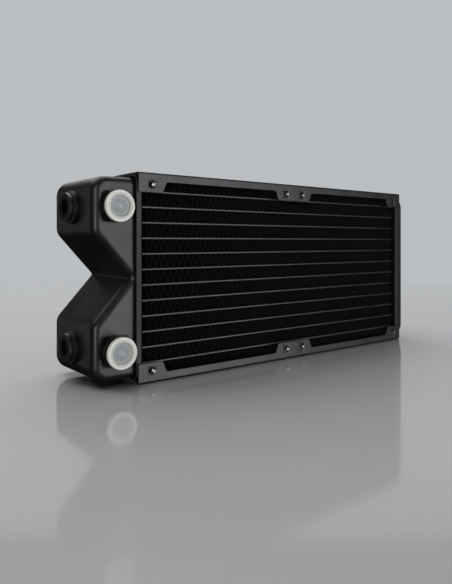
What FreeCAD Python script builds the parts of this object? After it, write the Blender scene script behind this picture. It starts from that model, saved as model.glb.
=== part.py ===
"""Liquid cooling radiator for two 120 mm fans, as a parametric FreeCAD document.

The frame: X runs along the core with the port tank at -X, -Y is the front, +Z is up.
The origin is on the underside of the bottom rail, midway between the two fans' screw
patterns and midway between the front and the back. All sizes are in millimetres.
"""
import FreeCAD, Part
import math
import os
import Sketcher

DOC = FreeCAD.newDocument("Radiator")
SHEET = DOC.addObject("Spreadsheet::Sheet", "Sizes")

# Driving dimensions: alias, value.
DRIVING = [
    # Fan screw pattern, which sets the length and the height of the core
    ("fan_hole_pitch", 105.0),   # screw spacing of a 120 mm fan, both ways
    ("fan_gap", 15.0),           # from one fan's last screw to the next fan's first
    ("hole_to_edge", 6.725),     # screw row to the rail's outer face
    ("rail_overhang", 8.6),      # rail beyond the outermost screws
    ("depth", 60.0),             # over both rail flanges, front to back
    # Rails: folded steel channels
    ("rail_sheet", 1.0),
    ("rail_bend", 1.3),          # outside radius of the fold
    ("rail_bend_inner", 0.3),
    ("band", 5.0),               # height of the flange between its tabs
    ("tab_margin", 4.5),         # tab beyond the screw row
    ("tab_side", 7.1),           # tab beside a screw, at its free edge
    ("tab_slant", 2.6),          # how much wider a tab is at its root, each side
    ("tab_corner", 1.5),
    ("window_corner", 2.0),
    ("rail_corner", 0.6),
    # Press-in nuts behind the flanges
    ("nut_spigot_r", 2.6),
    ("nut_body_r", 3.3),
    ("nut_height", 2.4),         # behind the flange
    ("nut_bore_r", 1.65),
    ("nut_sink_r", 2.05),        # mouth of the countersink
    # Core
    ("tube_count", 12.0),
    ("tube_thick", 1.8),
    ("tube_wall", 0.3),
    ("tube_gap", 0.1),           # tube nose to the tank's wall, inside the tank
    ("tube_stub", 1.0),          # tube beyond the header plate
    ("side_plate", 1.6),
    ("fin_wave", 4.2),           # nominal length of one full wave
    ("fin_sheet", 0.15),
    ("fin_crest", 0.8),          # flat soldered to the tube
    ("fin_recess", 0.6),         # fin edge behind the tube nose
    ("fin_end_gap", 0.4),        # last crest to the header plate
    # Header plates: trays that close the tanks and carry the tubes
    ("header_inset", 3.6),       # core-side face inside the rail's end
    ("header_sheet", 1.5),
    ("header_lip", 4.4),         # overall height of the tray
    ("header_bend", 1.8),
    ("header_corner", 4.5),
    # Tanks, set into their trays with a solder gap all round
    ("tank_wall", 1.0),
    ("side_gap", 0.9),           # to the tray's lip, front and back
    ("end_gap", 0.6),            # to the tray's lip, top and bottom
    ("tank_edge", 4.5),          # rounding round the front and back faces
    ("port_tank_reach", 28.0),   # header plate to end face
    ("port_tank_corner", 9.0),
    ("shoulder", 25.2),          # half the mouth of the notch
    ("shoulder_corner", 8.0),
    ("notch_floor", 5.1),        # header plate to the bottom of the notch
    ("notch_corner", 1.0),
    ("divider_thick", 1.5),
    ("return_tank_reach", 12.1),
    ("return_tank_corner", 8.0),
    # Ports: G 1/4 threads drawn as plain bores and shanks at the thread's outside diameter
    ("port_from_edge", 16.625),  # axis to the tank's top or bottom
    ("port_from_end", 13.5),     # front ports, from the tank's end face
    ("front_collar_r", 8.8),
    ("front_stand", 3.8),        # front collars beyond the tank's surface
    ("end_collar_r", 9.4),
    ("end_stand", 1.2),          # end collars beyond the tank's surface
    ("collar_spigot_r", 8.0),
    ("collar_depth", 9.0),       # below the tank's surface
    ("port_r", 6.58),
    ("port_chamfer", 0.5),
    ("thread_gap", 0.06),        # between a shank and its bore, on the radius
    ("ring_r", 9.1),
    ("ring_thick", 1.1),
    ("ring_round", 0.45),
    ("ring_gap", 0.15),          # between the sealing ring and the shank, on the radius
    ("plug_head_r", 8.25),
    ("plug_head", 2.5),
    ("plug_shank", 8.0),         # below the sealing ring
    ("plug_chamfer", 0.4),
    ("socket_flats", 8.0),
    ("socket_depth", 5.0),
    ("cap_r", 8.65),
    ("cap_rim", 2.6),
    ("cap_shank", 9.0),
    ("cap_dish_r", 5.2),         # floor of the shallow dish in the cap's face
    ("cap_dish", 1.1),
    ("cap_dish_slant", 0.8),     # how much wider the dish is at its mouth
    ("cap_web", 1.2),            # between the dish and the hollow of the shank
    ("cap_wall", 1.3),
    ("cap_round", 0.5),
    ("cap_standoff", 2.4),       # the lower front cap is not pushed home
]
for row, (alias, value) in enumerate(DRIVING, start=1):
    SHEET.set(f"A{row}", alias)
    SHEET.set(f"B{row}", str(value))
    SHEET.setAlias(f"B{row}", alias)
DOC.recompute()

# Worked-out sizes, as expressions of the driving ones.
RAIL_HALF = "(Sizes.fan_hole_pitch + Sizes.fan_gap / 2 + Sizes.rail_overhang)"
HEIGHT = "(Sizes.fan_hole_pitch + 2 * Sizes.hole_to_edge)"
MID_HEIGHT = f"({HEIGHT} / 2)"
INNER_HEIGHT = f"({HEIGHT} - 2 * Sizes.rail_sheet)"
INNER_DEPTH = "(Sizes.depth - 2 * Sizes.rail_sheet)"
CORE_HALF = f"({RAIL_HALF} - Sizes.header_inset)"
STACK = f"({INNER_HEIGHT} - 2 * Sizes.side_plate)"
TUBE_PITCH = f"(({STACK} + Sizes.tube_thick) / (Sizes.tube_count + 1))"
FIN_HEIGHT = f"({TUBE_PITCH} - Sizes.tube_thick)"
TANK_DEPTH = f"({INNER_DEPTH} - 2 * (Sizes.header_sheet + Sizes.side_gap))"
CORE_DEPTH = f"({TANK_DEPTH} - 2 * (Sizes.tank_wall + Sizes.tube_gap))"
TANK_HALF_HEIGHT = f"({INNER_HEIGHT} / 2 - Sizes.header_sheet - Sizes.end_gap)"
TANK_BASE = f"({CORE_HALF} + Sizes.header_sheet)"
END_FACE = f"({TANK_BASE} + Sizes.port_tank_reach)"
NOTCH_RUN = "(Sizes.port_tank_reach - Sizes.notch_floor)"
NOTCH_SLOPE = f"(sqrt({NOTCH_RUN} ^ 2 + Sizes.shoulder ^ 2) / Sizes.shoulder)"
PORT_HEIGHT = f"({TANK_HALF_HEIGHT} - Sizes.port_from_edge)"  # above and below mid-height
DIVIDER_REACH = f"(Sizes.notch_floor - Sizes.tank_wall * {NOTCH_SLOPE})"
DIVIDER_WIDTH = f"({TANK_DEPTH} - 2 * Sizes.tank_edge)"
SCREW_COLUMNS = [f"({side}({distance}))" for side in ("-", "")
                 for distance in ("Sizes.fan_gap / 2", "Sizes.fan_gap / 2 + Sizes.fan_hole_pitch")]
OVERRUN = "2"  # how far a cut runs past the piece

TOLERANCE = 1e-4
X_AXIS = FreeCAD.Vector(1, 0, 0)
Y_AXIS = FreeCAD.Vector(0, 1, 0)
Z_AXIS = FreeCAD.Vector(0, 0, 1)
FACING = {
    # Turns a piece drawn along +Z so that it points out of the named side
    "front": FreeCAD.Rotation(X_AXIS, 90),
    "back": FreeCAD.Rotation(X_AXIS, -90),
    "port_end": FreeCAD.Rotation(Y_AXIS, -90),
}
SUB_PARTS = []


def size(expression):
    """The number that an expression of the sheet's cells stands for."""
    value = SHEET.evalExpression(str(expression))
    return float(getattr(value, "Value", value))


def keep(piece, label):
    """Names a sub-part and puts it on the list that is written out."""
    piece.Label = label
    SUB_PARTS.append(piece)
    return piece


def place(piece, x=None, y=None, z=None, turn=None):
    """Turns a sub-part, and ties its place to the sheet."""
    if turn is not None:
        piece.Placement = FreeCAD.Placement(FreeCAD.Vector(), turn)
    for axis, expression in (("x", x), ("y", y), ("z", z)):
        if expression is not None:
            piece.setExpression(f"Placement.Base.{axis}", str(expression))


def new_body(label):
    return keep(DOC.addObject("PartDesign::Body", label), label)


def new_sketch(body, name, role, offset=None):
    """A sketch on one of the body's own origin planes, moved along its normal."""
    sketch = body.newObject("Sketcher::SketchObject", f"{body.Name}_{name}")
    plane = next(item for item in body.Origin.OriginFeatures if item.Role == role)
    sketch.AttachmentSupport = [(plane, "")]
    sketch.MapMode = "FlatFace"
    if offset is not None:
        sketch.setExpression("AttachmentOffset.Base.z", str(offset))
    return sketch


def tie_point(sketch, geometry, point, x, y):
    """Holds one point of the sketch at two expressions, measured from its origin."""
    for kind, expression in (("DistanceX", x), ("DistanceY", y)):
        constraint = Sketcher.Constraint(kind, -1, 1, geometry, point, size(expression))
        index = sketch.addConstraint(constraint)
        sketch.setExpression(f"Constraints[{index}]", str(expression))


def tie_radius(sketch, geometry, radius):
    index = sketch.addConstraint(Sketcher.Constraint("Radius", geometry, size(radius)))
    sketch.setExpression(f"Constraints[{index}]", str(radius))


def draw_polygon(sketch, corners):
    """Straight lines through the corners, each an (x, y) pair of expressions."""
    points = [FreeCAD.Vector(size(x), size(y), 0) for x, y in corners]
    first = sketch.GeometryCount
    count = len(points)
    for index, start in enumerate(points):
        sketch.addGeometry(Part.LineSegment(start, points[(index + 1) % count]), False)
    for index, (x, y) in enumerate(corners):
        following = (index + 1) % count
        sketch.addConstraint(Sketcher.Constraint("Coincident", first + index, 2,
                                                 first + following, 1))
        tie_point(sketch, first + index, 1, x, y)


def draw_circle(sketch, x, y, radius):
    centre = FreeCAD.Vector(size(x), size(y), 0)
    index = sketch.addGeometry(Part.Circle(centre, Z_AXIS, size(radius)), False)
    tie_point(sketch, index, 3, x, y)
    tie_radius(sketch, index, radius)


def draw_slot(sketch, width, thick):
    """A flat slot with round ends, centred on the sketch's origin and lying along its x."""
    radius = f"({thick} / 2)"
    centre = f"({width} / 2 - {radius})"
    reach, r = size(centre), size(radius)
    up, down = math.pi / 2, -math.pi / 2
    corners = [FreeCAD.Vector(sx * reach, sy * r, 0) for sx, sy in
               ((-1, 1), (1, 1), (1, -1), (-1, -1))]
    circles = [Part.Circle(FreeCAD.Vector(side * reach, 0, 0), Z_AXIS, r) for side in (1, -1)]
    top = sketch.addGeometry(Part.LineSegment(corners[0], corners[1]), False)
    right = sketch.addGeometry(Part.ArcOfCircle(circles[0], down, up), False)
    bottom = sketch.addGeometry(Part.LineSegment(corners[2], corners[3]), False)
    left = sketch.addGeometry(Part.ArcOfCircle(circles[1], up, up + math.pi), False)
    joins = ((top, 2, right, 2), (right, 1, bottom, 1), (bottom, 2, left, 2), (left, 1, top, 1))
    for join in joins:
        sketch.addConstraint(Sketcher.Constraint("Tangent", *join))
    for arc, side in ((right, ""), (left, "-")):
        tie_point(sketch, arc, 3, f"{side}{centre}", "0")
        tie_radius(sketch, arc, radius)


def pad(body, sketch, length, symmetric=True, reverse=False):
    feature = body.newObject("PartDesign::Pad", f"{sketch.Name}_pad")
    feature.Profile = (sketch, [""])
    feature.SideType = "Symmetric" if symmetric else "One side"
    feature.Reversed = reverse
    feature.setExpression("Length", str(length))
    DOC.recompute()
    return feature


def pocket(body, sketch, length, symmetric=True, reverse=False):
    """Cuts a sketch out of a body, and stops if nothing was cut."""
    before = body.Shape.Volume
    feature = body.newObject("PartDesign::Pocket", f"{sketch.Name}_pocket")
    feature.Profile = (sketch, [""])
    feature.SideType = "Symmetric" if symmetric else "One side"
    feature.Reversed = reverse
    feature.setExpression("Length", str(length))
    DOC.recompute()
    if body.Shape.Volume > before - TOLERANCE:
        raise ValueError(f"{feature.Name} cuts nothing")
    return feature


def edge_names(feature, wanted):
    """Names of the feature's edges that a test picks."""
    edges = enumerate(feature.Shape.Edges, start=1)
    return [f"Edge{index}" for index, edge in edges if wanted(edge)]


def runs_along(edge, axis):
    """True for a straight edge parallel to the axis."""
    if len(edge.Vertexes) != 2 or not isinstance(edge.Curve, (Part.Line, Part.LineSegment)):
        return False
    first, last = (vertex.Point for vertex in edge.Vertexes)
    direction = last.sub(first)
    return direction.cross(axis).Length < TOLERANCE * max(direction.Length, 1.0)


def near(value, target):
    return abs(value - target) < 1e-3


def fillet(body, feature, name, radius, wanted):
    rounded = body.newObject("PartDesign::Fillet", f"{body.Name}_{name}")
    rounded.Base = (feature, edge_names(feature, wanted))
    rounded.setExpression("Radius", str(radius))
    DOC.recompute()
    return rounded


def revolve(body, corners):
    """Turns a half profile, drawn as (radius, height) pairs, round the body's Z axis."""
    sketch = new_sketch(body, "profile", "XZ_Plane")
    draw_polygon(sketch, corners)
    feature = body.newObject("PartDesign::Revolution", f"{body.Name}_turned")
    feature.Profile = (sketch, [""])
    feature.ReferenceAxis = (sketch, ["V_Axis"])
    feature.Angle = 360
    DOC.recompute()
    return feature


# Rails ---------------------------------------------------------------------------------

def make_rail(label, z, turn=None):
    """A folded channel: web outwards, flanges with tabs that carry the fan screws."""
    body = new_body(label)
    half_depth = "(Sizes.depth / 2)"
    inside = f"({half_depth} - Sizes.rail_sheet)"
    tab_edge = "(-(Sizes.hole_to_edge + Sizes.tab_margin))"
    section = new_sketch(body, "section", "YZ_Plane")
    draw_polygon(section, [
        (f"-{half_depth}", tab_edge), (f"-{half_depth}", "0"), (half_depth, "0"),
        (half_depth, tab_edge), (inside, tab_edge), (inside, "-Sizes.rail_sheet"),
        (f"-{inside}", "-Sizes.rail_sheet"), (f"-{inside}", tab_edge)])
    channel = pad(body, section, f"2 * {RAIL_HALF}")
    outer = size(half_depth)
    folded = fillet(body, channel, "fold", "Sizes.rail_bend", lambda edge: (
        runs_along(edge, X_AXIS) and near(edge.CenterOfMass.z, 0)
        and near(abs(edge.CenterOfMass.y), outer)))
    inner = size(inside)
    folded = fillet(body, folded, "inner_fold", "Sizes.rail_bend_inner", lambda edge: (
        runs_along(edge, X_AXIS) and near(edge.CenterOfMass.z, -size("Sizes.rail_sheet"))
        and near(abs(edge.CenterOfMass.y), inner)))
    # One window in each flange beside each fan
    windows = new_sketch(body, "windows", "XZ_Plane")
    middle = "(Sizes.fan_gap / 2 + Sizes.tab_side)"
    outward = f"({RAIL_HALF} - Sizes.rail_overhang - Sizes.tab_side)"
    for side in ("", "-"):
        draw_polygon(windows, [
            (f"{side}{middle}", tab_edge), (f"{side}{middle}", f"{tab_edge} - {OVERRUN}"),
            (f"{side}{outward}", f"{tab_edge} - {OVERRUN}"), (f"{side}{outward}", tab_edge),
            (f"{side}({outward} - Sizes.tab_slant)", "-Sizes.band"),
            (f"{side}({middle} + Sizes.tab_slant)", "-Sizes.band")])
    cut = pocket(body, windows, f"Sizes.depth + {OVERRUN}")
    band, edge_z = size("Sizes.band"), size(tab_edge)
    rail_end = size(RAIL_HALF)
    cut = fillet(body, cut, "window_corners", "Sizes.window_corner", lambda edge: (
        runs_along(edge, Y_AXIS) and near(edge.CenterOfMass.z, -band)))
    cut = fillet(body, cut, "tab_corners", "Sizes.tab_corner", lambda edge: (
        runs_along(edge, Y_AXIS) and near(edge.CenterOfMass.z, edge_z)
        and not near(abs(edge.CenterOfMass.x), rail_end)))
    fillet(body, cut, "end_corners", "Sizes.rail_corner", lambda edge: (
        runs_along(edge, Y_AXIS) and near(edge.CenterOfMass.z, edge_z)
        and near(abs(edge.CenterOfMass.x), rail_end)))
    holes = new_sketch(body, "holes", "XZ_Plane")
    for x in SCREW_COLUMNS:
        draw_circle(holes, x, "-Sizes.hole_to_edge", "Sizes.nut_spigot_r")
    pocket(body, holes, f"Sizes.depth + {OVERRUN}")
    place(body, z=z, turn=turn)


def make_nut_group(label, facing, y):
    """Press-in nuts behind one face's flanges: a spigot in the sheet, a body behind it."""
    nuts = []
    low, high = "Sizes.hole_to_edge", f"({HEIGHT} - Sizes.hole_to_edge)"
    sites = [(x, z) for z in (low, high) for x in SCREW_COLUMNS]
    for number, (x, z) in enumerate(sites, start=1):
        nut = DOC.addObject("PartDesign::Body", f"{label}_{number}")
        sink = "(Sizes.nut_sink_r - Sizes.nut_bore_r)"
        back = "(-Sizes.rail_sheet - Sizes.nut_height)"
        revolve(nut, [
            ("Sizes.nut_bore_r", back), ("Sizes.nut_body_r", back),
            ("Sizes.nut_body_r", "-Sizes.rail_sheet"), ("Sizes.nut_spigot_r", "-Sizes.rail_sheet"),
            ("Sizes.nut_spigot_r", "0"), ("Sizes.nut_sink_r", "0"),
            ("Sizes.nut_bore_r", f"-{sink}")])
        place(nut, x, y, z, FACING[facing])
        nuts.append(nut)
    group = keep(DOC.addObject("Part::Compound", label), label)
    group.Links = nuts


# Core ----------------------------------------------------------------------------------

def tube_level(number):
    """Height of one tube's mid-plane; the tubes are numbered from the bottom."""
    return f"({MID_HEIGHT} + ({number} - (Sizes.tube_count + 1) / 2) * {TUBE_PITCH})"


def make_tube(number):
    """A flat tube with round noses, open at both ends, through both header plates."""
    body = new_body(f"flat_tube_{number:02d}")
    section = new_sketch(body, "section", "YZ_Plane")
    draw_slot(section, CORE_DEPTH, "Sizes.tube_thick")
    draw_slot(section, f"({CORE_DEPTH} - 2 * Sizes.tube_wall)",
              "(Sizes.tube_thick - 2 * Sizes.tube_wall)")
    pad(body, section, f"2 * ({TANK_BASE} + Sizes.tube_stub)")
    place(body, z=tube_level(number))


def fin_outline():
    """The edge of one fin strip: a folded ribbon with flat crests, as a closed polygon.

    A leg's thickness is the sheet's, measured square to it, so the flat on the inside
    of a crest is shorter than the one on the outside by twice the inset.
    """
    height, sheet, crest = size(FIN_HEIGHT), size("Sizes.fin_sheet"), size("Sizes.fin_crest")
    half_length = size(f"{CORE_HALF} - Sizes.fin_end_gap")
    waves = round(2 * half_length / size("Sizes.fin_wave"))
    wave = 2 * half_length / waves
    inset = 0.0
    for _ in range(8):
        run, drop = wave / 2 - crest + inset, height - sheet
        inset = sheet * (math.hypot(run, drop) - run) / drop
    over, under = [], []
    for index in range(2 * waves + 1):
        middle = -half_length + index * wave / 2
        crest_is_up = index % 2 == 0
        outer, inner = crest / 2, crest / 2 - inset
        top_flat = outer if crest_is_up else inner
        low_flat = inner if crest_is_up else outer
        top_z = height / 2 if crest_is_up else sheet - height / 2
        left = max(middle - top_flat, -half_length), max(middle - low_flat, -half_length)
        right = min(middle + top_flat, half_length), min(middle + low_flat, half_length)
        over += [(left[0], top_z), (right[0], top_z)]
        under += [(left[1], top_z - sheet), (right[1], top_z - sheet)]
    return over + under[::-1]


def make_fin_strip(number, outline):
    """A folded strip between two tubes, or between the outermost tube and its side plate."""
    depth = size(f"{CORE_DEPTH} - 2 * Sizes.fin_recess")
    points = [FreeCAD.Vector(x, -depth / 2, z) for x, z in outline]
    face = Part.Face(Part.makePolygon(points + points[:1]))
    strip = keep(DOC.addObject("Part::Feature", f"fin_strip_{number:02d}"),
                 f"fin_strip_{number:02d}")
    strip.Shape = face.extrude(FreeCAD.Vector(0, depth, 0))
    place(strip, z=f"({tube_level(number)} - {TUBE_PITCH} / 2)")


def make_side_plate(label, z):
    """A flat plate that closes the core under a rail's web."""
    plate = keep(DOC.addObject("Part::Box", label), label)
    plate.setExpression("Length", f"2 * {CORE_HALF}")
    plate.setExpression("Width", CORE_DEPTH)
    plate.setExpression("Height", "Sizes.side_plate")
    place(plate, f"-{CORE_HALF}", f"-{CORE_DEPTH} / 2", z)


# Header plates and tanks ---------------------------------------------------------------

def make_header(label, x, turn=None):
    """A tray with a slot for each tube; its lip stands outwards and holds the tank."""
    body = new_body(label)
    half_depth, half_height = f"({INNER_DEPTH} / 2)", f"({INNER_HEIGHT} / 2)"
    blank = new_sketch(body, "blank", "YZ_Plane")
    draw_polygon(blank, rectangle(half_depth, half_height))
    tray = pad(body, blank, "Sizes.header_lip", symmetric=False, reverse=True)
    tray = fillet(body, tray, "corners", "Sizes.header_corner",
                  lambda edge: runs_along(edge, X_AXIS))
    tray = fillet(body, tray, "bend", "Sizes.header_bend",
                  lambda edge: near(edge.BoundBox.XMin, 0) and near(edge.BoundBox.XMax, 0))
    inside = new_sketch(body, "inside", "YZ_Plane", "-Sizes.header_lip")
    draw_polygon(inside, rectangle(f"({half_depth} - Sizes.header_sheet)",
                                   f"({half_height} - Sizes.header_sheet)"))
    tray = pocket(body, inside, "Sizes.header_lip - Sizes.header_sheet",
                  symmetric=False, reverse=True)
    lip = size("Sizes.header_lip - Sizes.header_sheet")
    inner_y = size(f"{half_depth} - Sizes.header_sheet")
    fillet(body, tray, "inner_corners", "Sizes.header_corner - Sizes.header_sheet",
           lambda edge: (runs_along(edge, X_AXIS) and near(edge.Length, lip)
                         and near(abs(edge.CenterOfMass.y), inner_y)))
    slot = new_sketch(body, "slot", "YZ_Plane")
    slot.setExpression("AttachmentOffset.Base.y",
                       f"-(Sizes.tube_count - 1) / 2 * {TUBE_PITCH}")
    draw_slot(slot, CORE_DEPTH, "Sizes.tube_thick")
    cut = pocket(body, slot, "3 * Sizes.header_lip")
    row = body.newObject("PartDesign::LinearPattern", f"{body.Name}_slots")
    row.Originals = [cut]
    row.Direction = (slot, ["V_Axis"])
    row.setExpression("Length", f"(Sizes.tube_count - 1) * {TUBE_PITCH}")
    row.setExpression("Occurrences", "Sizes.tube_count")
    body.Tip = row
    place(body, x, z=MID_HEIGHT, turn=turn)


def rectangle(half_x, half_y):
    return [(f"-{half_x}", f"-{half_y}"), (half_x, f"-{half_y}"), (half_x, half_y),
            (f"-{half_x}", half_y)]


def shell_tank(body, outline, corner_radii):
    """A formed shell, open towards its header plate, which is the plane x = 0.

    corner_radii lists (name, radius, x, z): the upright corners rounded at each place.
    """
    side = new_sketch(body, "side", "XZ_Plane")
    draw_polygon(side, outline)
    block = pad(body, side, TANK_DEPTH)
    for name, radius, x, z in corner_radii:
        spot = size(x), size(z)
        block = fillet(body, block, name, radius, lambda edge, spot=spot: (
            runs_along(edge, Y_AXIS) and near(edge.CenterOfMass.x, spot[0])
            and near(abs(edge.CenterOfMass.z), spot[1])))
    face_y = size(f"{TANK_DEPTH} / 2")

    def rounds_a_face(edge):
        """True round the front and back faces, apart from their edges at the mouth."""
        box = edge.BoundBox
        return (box.YLength < TOLERANCE and near(abs(edge.CenterOfMass.y), face_y)
                and max(-box.XMin, box.XMax) > TOLERANCE)

    block = fillet(body, block, "edges", "Sizes.tank_edge", rounds_a_face)
    faces = enumerate(block.Shape.Faces, start=1)
    mouth = [f"Face{index}" for index, face in faces
             if face.BoundBox.XLength < TOLERANCE and near(face.CenterOfMass.x, 0)]
    shell = body.newObject("PartDesign::Thickness", f"{body.Name}_shell")
    shell.Base = (block, mouth)
    shell.Reversed = True
    shell.setExpression("Value", "Sizes.tank_wall")
    DOC.recompute()
    if shell.Shape.Volume > block.Shape.Volume / 2:
        raise ValueError(f"{body.Name} is not hollow")
    return shell


def make_port_tank():
    """The tank with the ports: two chambers with a V notch between them."""
    body = new_body("port_tank")
    end, floor = "(-Sizes.port_tank_reach)", "(-Sizes.notch_floor)"
    shell_tank(body, [
        ("0", TANK_HALF_HEIGHT), (end, TANK_HALF_HEIGHT), (end, "Sizes.shoulder"), (floor, "0"),
        (end, "-Sizes.shoulder"), (end, f"-{TANK_HALF_HEIGHT}"), ("0", f"-{TANK_HALF_HEIGHT}")],
        [("ends", "Sizes.port_tank_corner", end, TANK_HALF_HEIGHT),
         ("shoulders", "Sizes.shoulder_corner", end, "Sizes.shoulder"),
         ("notch", "Sizes.notch_corner", floor, "0")])
    front = new_sketch(body, "front_ports", "XZ_Plane", f"{TANK_DEPTH} / 2")
    for side in ("", "-"):
        draw_circle(front, f"({end} + Sizes.port_from_end)", f"{side}{PORT_HEIGHT}",
                    "Sizes.collar_spigot_r")
    pocket(body, front, "2 * Sizes.tank_wall", symmetric=False)
    ends = new_sketch(body, "end_ports", "YZ_Plane", end)
    for side in ("", "-"):
        draw_circle(ends, "0", f"{side}{PORT_HEIGHT}", "Sizes.collar_spigot_r")
    pocket(body, ends, "2 * Sizes.tank_wall", symmetric=False, reverse=True)
    place(body, f"-{TANK_BASE}", z=MID_HEIGHT)


def make_return_tank():
    """The shallow tank at the far end, where the coolant turns back."""
    body = new_body("return_tank")
    shell_tank(body, [
        ("0", TANK_HALF_HEIGHT), ("0", f"-{TANK_HALF_HEIGHT}"),
        ("Sizes.return_tank_reach", f"-{TANK_HALF_HEIGHT}"),
        ("Sizes.return_tank_reach", TANK_HALF_HEIGHT)],
        [("ends", "Sizes.return_tank_corner", "Sizes.return_tank_reach", TANK_HALF_HEIGHT)])
    place(body, TANK_BASE, z=MID_HEIGHT)


def make_divider():
    """The strip that parts the two chambers behind the notch."""
    strip = keep(DOC.addObject("Part::Box", "chamber_divider"), "chamber_divider")
    strip.setExpression("Length", DIVIDER_REACH)
    strip.setExpression("Width", DIVIDER_WIDTH)
    strip.setExpression("Height", "Sizes.divider_thick")
    place(strip, f"-({TANK_BASE} + {DIVIDER_REACH})", f"-{DIVIDER_WIDTH} / 2",
          f"{MID_HEIGHT} - Sizes.divider_thick / 2")


# Ports: each piece is drawn along +Z with its tank's surface at z = 0 ------------------

def make_collar(label, site, stand, radius):
    """A threaded ring brazed into the tank's wall."""
    body = new_body(label)
    bottom, top = "(-Sizes.collar_depth)", stand
    mouth = "(Sizes.port_r + Sizes.port_chamfer)"
    revolve(body, [
        ("Sizes.port_r", bottom), ("Sizes.collar_spigot_r", bottom),
        ("Sizes.collar_spigot_r", "0"), (radius, "0"), (radius, top),
        (mouth, top), ("Sizes.port_r", f"({top} - Sizes.port_chamfer)")])
    place(body, *site)


def make_ring(label, site):
    """The rubber sealing ring between a stop plug's head and its collar."""
    body = new_body(label)
    low, high = "Sizes.end_stand", "(Sizes.end_stand + Sizes.ring_thick)"
    bore = "(Sizes.port_r - Sizes.thread_gap + Sizes.ring_gap)"
    turned = revolve(body, [(bore, low), ("Sizes.ring_r", low), ("Sizes.ring_r", high),
                            (bore, high)])
    rim = size("Sizes.ring_r")
    fillet(body, turned, "rounding", "Sizes.ring_round",
           lambda edge: near(edge.BoundBox.XMax, rim) and edge.BoundBox.ZLength < TOLERANCE)
    place(body, *site)


def make_stop_plug(label, site):
    """A screwed plug with a hexagon socket in its head."""
    body = new_body(label)
    seat = "(Sizes.end_stand + Sizes.ring_thick)"
    top = f"({seat} + Sizes.plug_head)"
    bottom = f"({seat} - Sizes.ring_thick - Sizes.plug_shank)"
    shank = "(Sizes.port_r - Sizes.thread_gap)"
    turned = revolve(body, [
        ("0", bottom), (f"({shank} - Sizes.plug_chamfer)", bottom),
        (shank, f"({bottom} + Sizes.plug_chamfer)"), (shank, seat), ("Sizes.plug_head_r", seat),
        ("Sizes.plug_head_r", f"({top} - Sizes.plug_chamfer)"),
        ("(Sizes.plug_head_r - Sizes.plug_chamfer)", top), ("0", top)])
    socket = new_sketch(body, "socket", "XY_Plane", top)
    flat, corner = "(Sizes.socket_flats / 2)", "(Sizes.socket_flats / sqrt(3))"
    draw_polygon(socket, [
        (flat, f"{corner} / 2"), ("0", corner), (f"-{flat}", f"{corner} / 2"),
        (f"-{flat}", f"-{corner} / 2"), ("0", f"-{corner}"), (flat, f"-{corner} / 2")])
    pocket(body, socket, "Sizes.socket_depth", symmetric=False)
    place(body, *site)


def make_dust_plug(label, site, standoff="0"):
    """A push-in plug: a dished rim on the collar, and a hollow shank in the bore."""
    body = new_body(label)
    seat = f"(Sizes.front_stand + {standoff})"
    top = f"({seat} + Sizes.cap_rim)"
    dish = f"({top} - Sizes.cap_dish)"
    roof = f"({dish} - Sizes.cap_web)"
    bottom = f"({seat} - Sizes.cap_shank)"
    shank = "(Sizes.port_r - Sizes.thread_gap)"
    hollow = f"({shank} - Sizes.cap_wall)"
    turned = revolve(body, [
        ("0", dish), ("Sizes.cap_dish_r", dish),
        ("(Sizes.cap_dish_r + Sizes.cap_dish_slant)", top), ("Sizes.cap_r", top),
        ("Sizes.cap_r", seat), (shank, seat), (shank, f"({bottom} + Sizes.plug_chamfer)"),
        (f"({shank} - Sizes.plug_chamfer)", bottom), (hollow, bottom), (hollow, roof),
        ("0", roof)])
    rim = size("Sizes.cap_r")
    fillet(body, turned, "rounding", "Sizes.cap_round", lambda edge: (
        near(edge.BoundBox.XMax, rim) and near(edge.BoundBox.ZMin, size(top))))
    place(body, *site)


def make_ports():
    """Two ports in the front of the tank and two in its end, one of each per chamber."""
    front_x = f"-({END_FACE} - Sizes.port_from_end)"
    front_y = f"-{TANK_DEPTH} / 2"
    for level, sign in (("upper", "+"), ("lower", "-")):
        z = f"({MID_HEIGHT} {sign} {PORT_HEIGHT})"
        front = front_x, front_y, z, FACING["front"]
        end = f"-{END_FACE}", "0", z, FACING["port_end"]
        make_collar(f"{level}_front_collar", front, "Sizes.front_stand",
                    "Sizes.front_collar_r")
        make_collar(f"{level}_end_collar", end, "Sizes.end_stand", "Sizes.end_collar_r")
        make_ring(f"{level}_sealing_ring", end)
        make_stop_plug(f"{level}_stop_plug", end)
        make_dust_plug(f"{level}_dust_plug", front,
                       "Sizes.cap_standoff" if level == "lower" else "0")


# The whole radiator --------------------------------------------------------------------

make_rail("top_rail", HEIGHT)
make_rail("bottom_rail", "0", FreeCAD.Rotation(X_AXIS, 180))
make_nut_group("front_nuts", "front", "-Sizes.depth / 2")
make_nut_group("back_nuts", "back", "Sizes.depth / 2")
tubes = int(size("Sizes.tube_count"))
for tube_number in range(1, tubes + 1):
    make_tube(tube_number)
strip_outline = fin_outline()
for strip_number in range(1, tubes + 2):
    make_fin_strip(strip_number, strip_outline)
make_side_plate("bottom_side_plate", "Sizes.rail_sheet")
make_side_plate("top_side_plate", f"{HEIGHT} - Sizes.rail_sheet - Sizes.side_plate")
make_header("port_header", f"-{CORE_HALF}")
make_header("return_header", CORE_HALF, FreeCAD.Rotation(Z_AXIS, 180))
make_port_tank()
make_return_tank()
make_divider()
make_ports()
DOC.recompute()


def check_document():
    """Stops on any failed object, and on any sub-part without a sound shape."""
    for item in DOC.Objects:
        if "Invalid" in item.State or "Error" in item.State:
            raise ValueError(f"{item.Label} failed: {item.State}")
    for piece in SUB_PARTS:
        shape = piece.Shape
        if shape.isNull() or not shape.isValid() or not shape.Solids:
            raise ValueError(f"{piece.Label} has no sound shape")


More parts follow.
